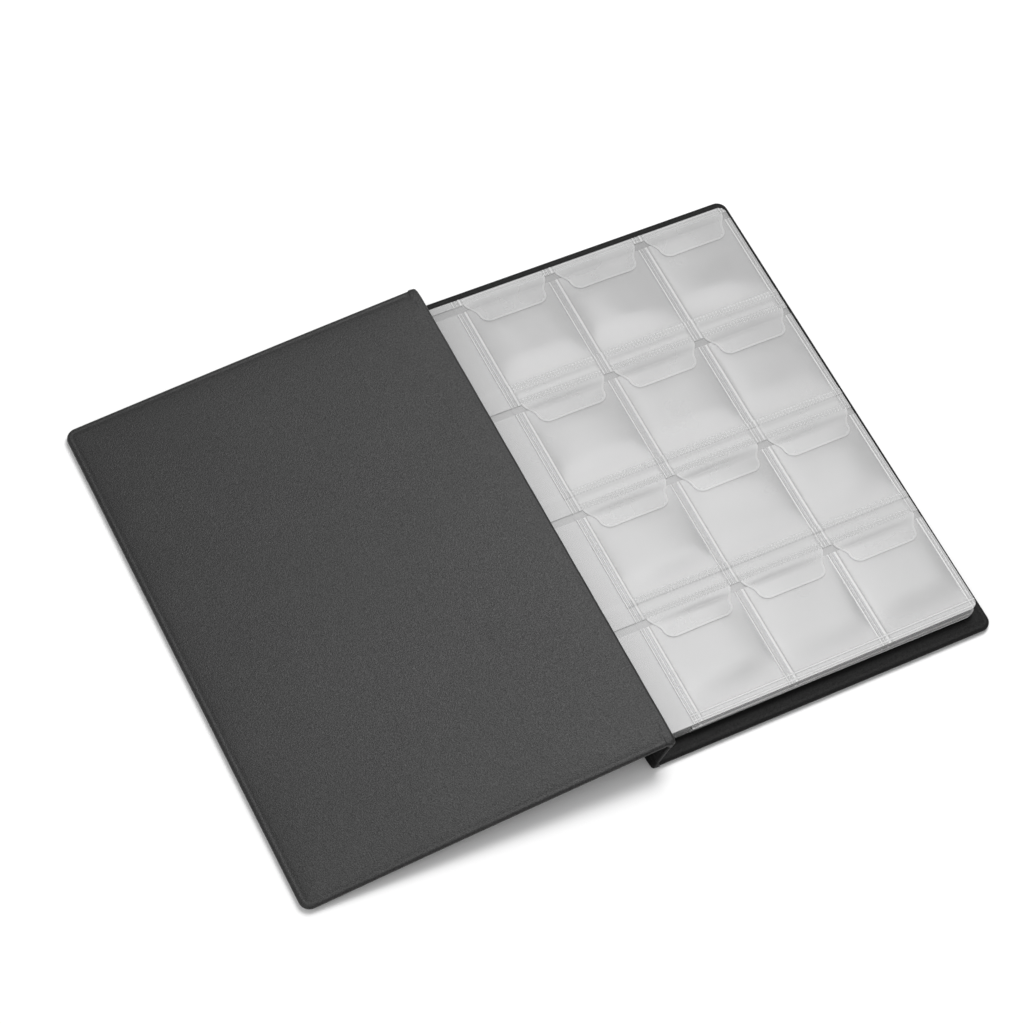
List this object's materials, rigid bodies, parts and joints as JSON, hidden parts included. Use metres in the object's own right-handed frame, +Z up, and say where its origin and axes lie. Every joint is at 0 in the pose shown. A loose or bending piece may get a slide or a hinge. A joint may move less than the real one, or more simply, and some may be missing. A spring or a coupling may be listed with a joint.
{
  "type": "coin album",
  "caption": "Pocket coin album lying open: stiff covers hinged on a narrow spine, and a stack of clear leaves whose pockets close with flaps.",
  "frame": {"origin": "centre of the back cover's underside, on the surface that the album lies on", "axes": "+X across the spread towards the back cover's fore edge, +Y towards the head of the album, +Z up"},
  "size_m": [0.2675, 0.2, 0.0167],
  "materials": {
    "outer_skin": "fine-grained soft vinyl",
    "lining": "fine-grained soft vinyl",
    "board": "bare grey board",
    "binding": "welded vinyl strip",
    "clear_film": "clear, slightly milky film",
    "flap_film": "clear, slightly milky film with knurled welds"
  },
  "bodies": {
    "back_cover": {"back_outer_skin": "outer_skin", "back_board": "board", "back_lining": "lining", "binding_strip": "binding", "leaf_margins": "clear_film"},
    "spine": {"lower_fold": "outer_skin", "spine_outer_skin": "outer_skin", "spine_board": "board", "spine_lining": "lining", "upper_fold": "outer_skin"},
    "front_cover": {"front_outer_skin": "outer_skin", "front_board": "board", "front_lining": "lining"},
    "leaf_01": {"leaf_01_back_film": "clear_film", "leaf_01_pocket_strips": "clear_film", "leaf_01_flap_hems": "flap_film"},
    "leaf_02": {"leaf_02_back_film": "clear_film", "leaf_02_pocket_strips": "clear_film", "leaf_02_flap_strips": "flap_film"},
    "leaf_03": {"leaf_03_back_film": "clear_film", "leaf_03_pocket_strips": "clear_film", "leaf_03_flap_strips": "flap_film"},
    "leaf_04": {"leaf_04_back_film": "clear_film", "leaf_04_pocket_strips": "clear_film", "leaf_04_flap_strips": "flap_film"},
    "leaf_05": {"leaf_05_back_film": "clear_film", "leaf_05_pocket_strips": "clear_film", "leaf_05_flap_strips": "flap_film"},
    "leaf_06": {"leaf_06_back_film": "clear_film", "leaf_06_pocket_strips": "clear_film", "leaf_06_flap_strips": "flap_film"},
    "leaf_07": {"leaf_07_back_film": "clear_film", "leaf_07_pocket_strips": "clear_film", "leaf_07_flap_strips": "flap_film"},
    "leaf_08": {"leaf_08_back_film": "clear_film", "leaf_08_pocket_strips": "clear_film", "leaf_08_flap_strips": "flap_film"},
    "leaf_09": {"leaf_09_back_film": "clear_film", "leaf_09_pocket_strips": "clear_film", "leaf_09_flap_strips": "flap_film"},
    "leaf_10": {"leaf_10_back_film": "clear_film", "leaf_10_pocket_strips": "clear_film", "leaf_10_flap_strips": "flap_film"},
    "flap_row_1_column_1": {"flap_row_1_column_1": "flap_film"},
    "flap_row_1_column_2": {"flap_row_1_column_2": "flap_film"},
    "flap_row_1_column_3": {"flap_row_1_column_3": "flap_film"},
    "flap_row_2_column_1": {"flap_row_2_column_1": "flap_film"},
    "flap_row_2_column_2": {"flap_row_2_column_2": "flap_film"},
    "flap_row_2_column_3": {"flap_row_2_column_3": "flap_film"},
    "flap_row_3_column_1": {"flap_row_3_column_1": "flap_film"},
    "flap_row_3_column_2": {"flap_row_3_column_2": "flap_film"},
    "flap_row_3_column_3": {"flap_row_3_column_3": "flap_film"},
    "flap_row_4_column_1": {"flap_row_4_column_1": "flap_film"},
    "flap_row_4_column_2": {"flap_row_4_column_2": "flap_film"},
    "flap_row_4_column_3": {"flap_row_4_column_3": "flap_film"}
  },
  "joints": [
    {"name": "spine_lean", "type": "hinge", "parent": "back_cover", "child": "spine", "pos_m": [-0.0689, 0, 0.0014], "axis": [0, 1, 0], "range_deg": [-19, 0]},
    {"name": "front_cover_swing", "type": "hinge", "parent": "spine", "child": "front_cover", "pos_m": [-0.06411, 0, 0.0153], "axis": [0, -1, 0], "range_deg": [-204.8, 0]},
    {"name": "leaf_01_turn", "type": "hinge", "parent": "back_cover", "child": "leaf_01", "pos_m": [-0.0579, 0, 0.0125], "axis": [0, -1, 0], "range_deg": [0, 174]},
    {"name": "leaf_02_turn", "type": "hinge", "parent": "back_cover", "child": "leaf_02", "pos_m": [-0.0579, 0, 0.0125], "axis": [0, -1, 0], "range_deg": [0, 156.61]},
    {"name": "leaf_03_turn", "type": "hinge", "parent": "back_cover", "child": "leaf_03", "pos_m": [-0.0579, 0, 0.0125], "axis": [0, -1, 0], "range_deg": [0, 139.21]},
    {"name": "leaf_04_turn", "type": "hinge", "parent": "back_cover", "child": "leaf_04", "pos_m": [-0.0579, 0, 0.0125], "axis": [0, -1, 0], "range_deg": [0, 121.81]},
    {"name": "leaf_05_turn", "type": "hinge", "parent": "back_cover", "child": "leaf_05", "pos_m": [-0.0579, 0, 0.0125], "axis": [0, -1, 0], "range_deg": [0, 104.41]},
    {"name": "leaf_06_turn", "type": "hinge", "parent": "back_cover", "child": "leaf_06", "pos_m": [-0.0579, 0, 0.0125], "axis": [0, -1, 0], "range_deg": [0, 87.01]},
    {"name": "leaf_07_turn", "type": "hinge", "parent": "back_cover", "child": "leaf_07", "pos_m": [-0.0579, 0, 0.0125], "axis": [0, -1, 0], "range_deg": [0, 69.61]},
    {"name": "leaf_08_turn", "type": "hinge", "parent": "back_cover", "child": "leaf_08", "pos_m": [-0.0579, 0, 0.0125], "axis": [0, -1, 0], "range_deg": [0, 52.21]},
    {"name": "leaf_09_turn", "type": "hinge", "parent": "back_cover", "child": "leaf_09", "pos_m": [-0.0579, 0, 0.0125], "axis": [0, -1, 0], "range_deg": [0, 34.81]},
    {"name": "leaf_10_turn", "type": "hinge", "parent": "back_cover", "child": "leaf_10", "pos_m": [-0.0579, 0, 0.0125], "axis": [0, -1, 0], "range_deg": [0, 17.41]},
    {"name": "flap_row_1_column_1_lift", "type": "hinge", "parent": "leaf_01", "child": "flap_row_1_column_1", "pos_m": [-0.0307, 0.09095, 0.00855], "axis": [1, 0, 0], "range_deg": [-22, 0]},
    {"name": "flap_row_1_column_2_lift", "type": "hinge", "parent": "leaf_01", "child": "flap_row_1_column_2", "pos_m": [0.0069, 0.09095, 0.00855], "axis": [1, 0, 0], "range_deg": [-22, 0]},
    {"name": "flap_row_1_column_3_lift", "type": "hinge", "parent": "leaf_01", "child": "flap_row_1_column_3", "pos_m": [0.0445, 0.09095, 0.00855], "axis": [1, 0, 0], "range_deg": [-22, 0]},
    {"name": "flap_row_2_column_1_lift", "type": "hinge", "parent": "leaf_01", "child": "flap_row_2_column_1", "pos_m": [-0.0307, 0.0441, 0.00855], "axis": [1, 0, 0], "range_deg": [-22, 0]},
    {"name": "flap_row_2_column_2_lift", "type": "hinge", "parent": "leaf_01", "child": "flap_row_2_column_2", "pos_m": [0.0069, 0.0441, 0.00855], "axis": [1, 0, 0], "range_deg": [-22, 0]},
    {"name": "flap_row_2_column_3_lift", "type": "hinge", "parent": "leaf_01", "child": "flap_row_2_column_3", "pos_m": [0.0445, 0.0441, 0.00855], "axis": [1, 0, 0], "range_deg": [-22, 0]},
    {"name": "flap_row_3_column_1_lift", "type": "hinge", "parent": "leaf_01", "child": "flap_row_3_column_1", "pos_m": [-0.0307, -0.0035, 0.00855], "axis": [1, 0, 0], "range_deg": [-22, 0]},
    {"name": "flap_row_3_column_2_lift", "type": "hinge", "parent": "leaf_01", "child": "flap_row_3_column_2", "pos_m": [0.0069, -0.0035, 0.00855], "axis": [1, 0, 0], "range_deg": [-22, 0]},
    {"name": "flap_row_3_column_3_lift", "type": "hinge", "parent": "leaf_01", "child": "flap_row_3_column_3", "pos_m": [0.0445, -0.0035, 0.00855], "axis": [1, 0, 0], "range_deg": [-22, 0]},
    {"name": "flap_row_4_column_1_lift", "type": "hinge", "parent": "leaf_01", "child": "flap_row_4_column_1", "pos_m": [-0.0307, -0.0511, 0.00855], "axis": [1, 0, 0], "range_deg": [-22, 0]},
    {"name": "flap_row_4_column_2_lift", "type": "hinge", "parent": "leaf_01", "child": "flap_row_4_column_2", "pos_m": [0.0069, -0.0511, 0.00855], "axis": [1, 0, 0], "range_deg": [-22, 0]},
    {"name": "flap_row_4_column_3_lift", "type": "hinge", "parent": "leaf_01", "child": "flap_row_4_column_3", "pos_m": [0.0445, -0.0511, 0.00855], "axis": [1, 0, 0], "range_deg": [-22, 0]}
  ],
  "couplings": [
    {"joint": "front_cover_swing", "follows": "spine_lean", "ratio": 10.779},
    {"joint": "leaf_02_turn", "follows": "leaf_01_turn", "ratio": 0.9},
    {"joint": "leaf_03_turn", "follows": "leaf_01_turn", "ratio": 0.8},
    {"joint": "leaf_04_turn", "follows": "leaf_01_turn", "ratio": 0.7},
    {"joint": "leaf_05_turn", "follows": "leaf_01_turn", "ratio": 0.6},
    {"joint": "leaf_06_turn", "follows": "leaf_01_turn", "ratio": 0.5},
    {"joint": "leaf_07_turn", "follows": "leaf_01_turn", "ratio": 0.4},
    {"joint": "leaf_08_turn", "follows": "leaf_01_turn", "ratio": 0.3},
    {"joint": "leaf_09_turn", "follows": "leaf_01_turn", "ratio": 0.2},
    {"joint": "leaf_10_turn", "follows": "leaf_01_turn", "ratio": 0.1}
  ]
}
